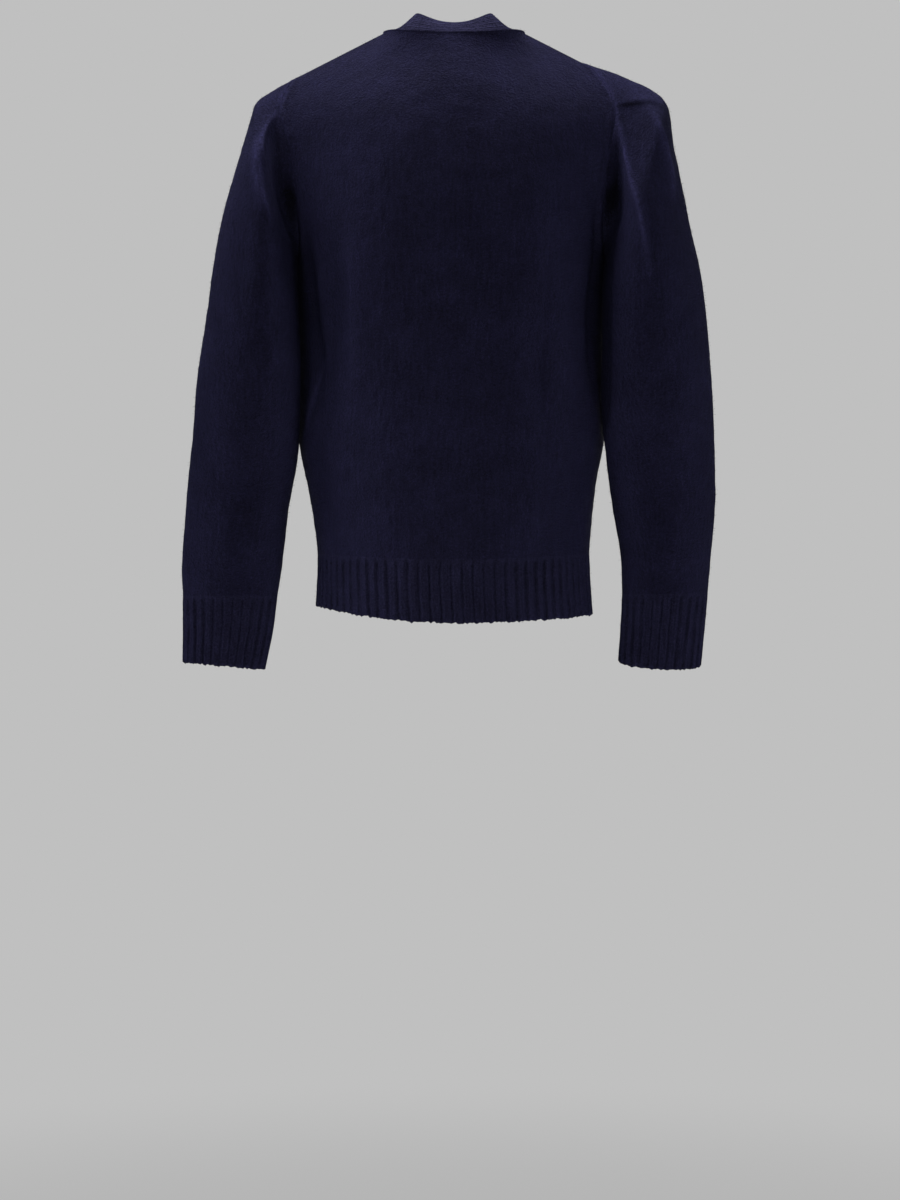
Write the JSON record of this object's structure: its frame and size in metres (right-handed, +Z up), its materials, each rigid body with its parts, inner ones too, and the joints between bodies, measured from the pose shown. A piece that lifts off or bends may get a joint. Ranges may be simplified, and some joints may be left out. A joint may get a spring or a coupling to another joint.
{
  "type": "cardigan",
  "caption": "Long-sleeved knitted wool cardigan in its worn shape, buttoned down the front, with a V neck, set-in sleeves, and ribbed hem, cuffs and band.",
  "frame": {"origin": "the middle of the back neck seam's height on the centre line, level with where the garment hangs on the wearer's shoulders; the shoulder line passes just behind it", "axes": "+Z up the wearer's body, +Y out of the back (the wearer faces -Y), +X towards the wearer's left"},
  "size_m": [0.5986, 0.2453, 0.7299],
  "materials": {
    "back": "very dark navy wool, plain knit, lightly brushed",
    "front_left": "very dark navy wool, plain knit, lightly brushed",
    "front_right": "very dark navy wool, plain knit, lightly brushed",
    "sleeve_left": "very dark navy wool, plain knit, lightly brushed",
    "sleeve_right": "very dark navy wool, plain knit, lightly brushed",
    "hem_rib_back": "very dark navy wool, two by two rib, lightly brushed",
    "hem_rib_left": "very dark navy wool, two by two rib, lightly brushed",
    "hem_rib_right": "very dark navy wool, two by two rib, lightly brushed",
    "cuff_left": "very dark navy wool, two by two rib, lightly brushed",
    "cuff_right": "very dark navy wool, two by two rib, lightly brushed",
    "front_band": "very dark navy wool, fine firm rib",
    "button_1": "dark horn-like resin, satin",
    "button_2": "dark horn-like resin, satin",
    "button_3": "dark horn-like resin, satin",
    "button_4": "dark horn-like resin, satin",
    "button_5": "dark horn-like resin, satin",
    "button_6": "dark horn-like resin, satin",
    "button_thread_1": "navy sewing thread",
    "button_thread_2": "navy sewing thread",
    "button_thread_3": "navy sewing thread",
    "button_thread_4": "navy sewing thread",
    "button_thread_5": "navy sewing thread",
    "button_thread_6": "navy sewing thread"
  },
  "bodies": {
    "root": {"back": "back", "front_left": "front_left", "front_right": "front_right", "sleeve_left": "sleeve_left", "sleeve_right": "sleeve_right", "hem_rib_back": "hem_rib_back", "hem_rib_left": "hem_rib_left", "hem_rib_right": "hem_rib_right", "cuff_left": "cuff_left", "cuff_right": "cuff_right", "front_band": "front_band", "button_1": "button_1", "button_2": "button_2", "button_3": "button_3", "button_4": "button_4", "button_5": "button_5", "button_6": "button_6", "button_thread_1": "button_thread_1", "button_thread_2": "button_thread_2", "button_thread_3": "button_thread_3", "button_thread_4": "button_thread_4", "button_thread_5": "button_thread_5", "button_thread_6": "button_thread_6"}
  },
  "joints": []
}
